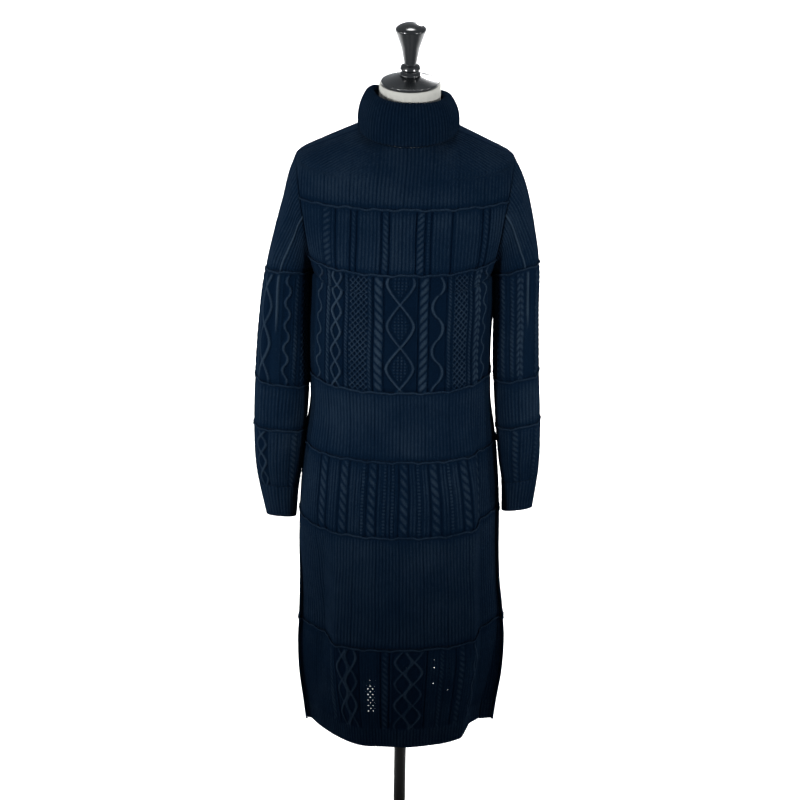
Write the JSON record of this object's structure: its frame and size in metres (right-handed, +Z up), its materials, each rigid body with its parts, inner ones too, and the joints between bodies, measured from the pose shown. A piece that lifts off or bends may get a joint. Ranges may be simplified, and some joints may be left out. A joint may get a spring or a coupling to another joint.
{
  "type": "sweater dress on dress form",
  "caption": "Long-sleeved knitted sweater dress with a folded neck, in level bands of ribs and cables, shown on a limbless dress form with pole and round base.",
  "frame": {"origin": "centre of the stand's base on its underside, where it rests on the floor", "axes": "+Z up along the pole; the front of the dress faces -Y; +X is on the viewer's right, the side of the wearer's left sleeve"},
  "size_m": [0.5127, 0.34, 1.64],
  "materials": {
    "wool": "dark navy wool, ribbed and cabled knit",
    "linen": "smooth off-white jersey cover",
    "lacquer": "black gloss lacquer",
    "steel": "black satin paint"
  },
  "bodies": {
    "root": {"yoke_front": "wool", "chest_band_front": "wool", "cable_band_front": "wool", "waist_band_front": "wool", "hip_band_front": "wool", "skirt_band_front": "wool", "border_band_front": "wool", "yoke_back": "wool", "chest_band_back": "wool", "cable_band_back": "wool", "waist_band_back": "wool", "hip_band_back": "wool", "skirt_band_back": "wool", "border_band_back": "wool", "sleeve_cap_left": "wool", "sleeve_cable_band_left": "wool", "sleeve_rib_band_left": "wool", "sleeve_mixed_band_left": "wool", "sleeve_cuff_left": "wool", "sleeve_cap_right": "wool", "sleeve_cable_band_right": "wool", "sleeve_rib_band_right": "wool", "sleeve_mixed_band_right": "wool", "sleeve_cuff_right": "wool", "neck_fold": "wool", "form_torso": "linen", "form_cap": "lacquer", "form_finial": "lacquer", "form_flange": "steel", "stand_pole": "steel", "stand_base": "steel"}
  },
  "joints": []
}
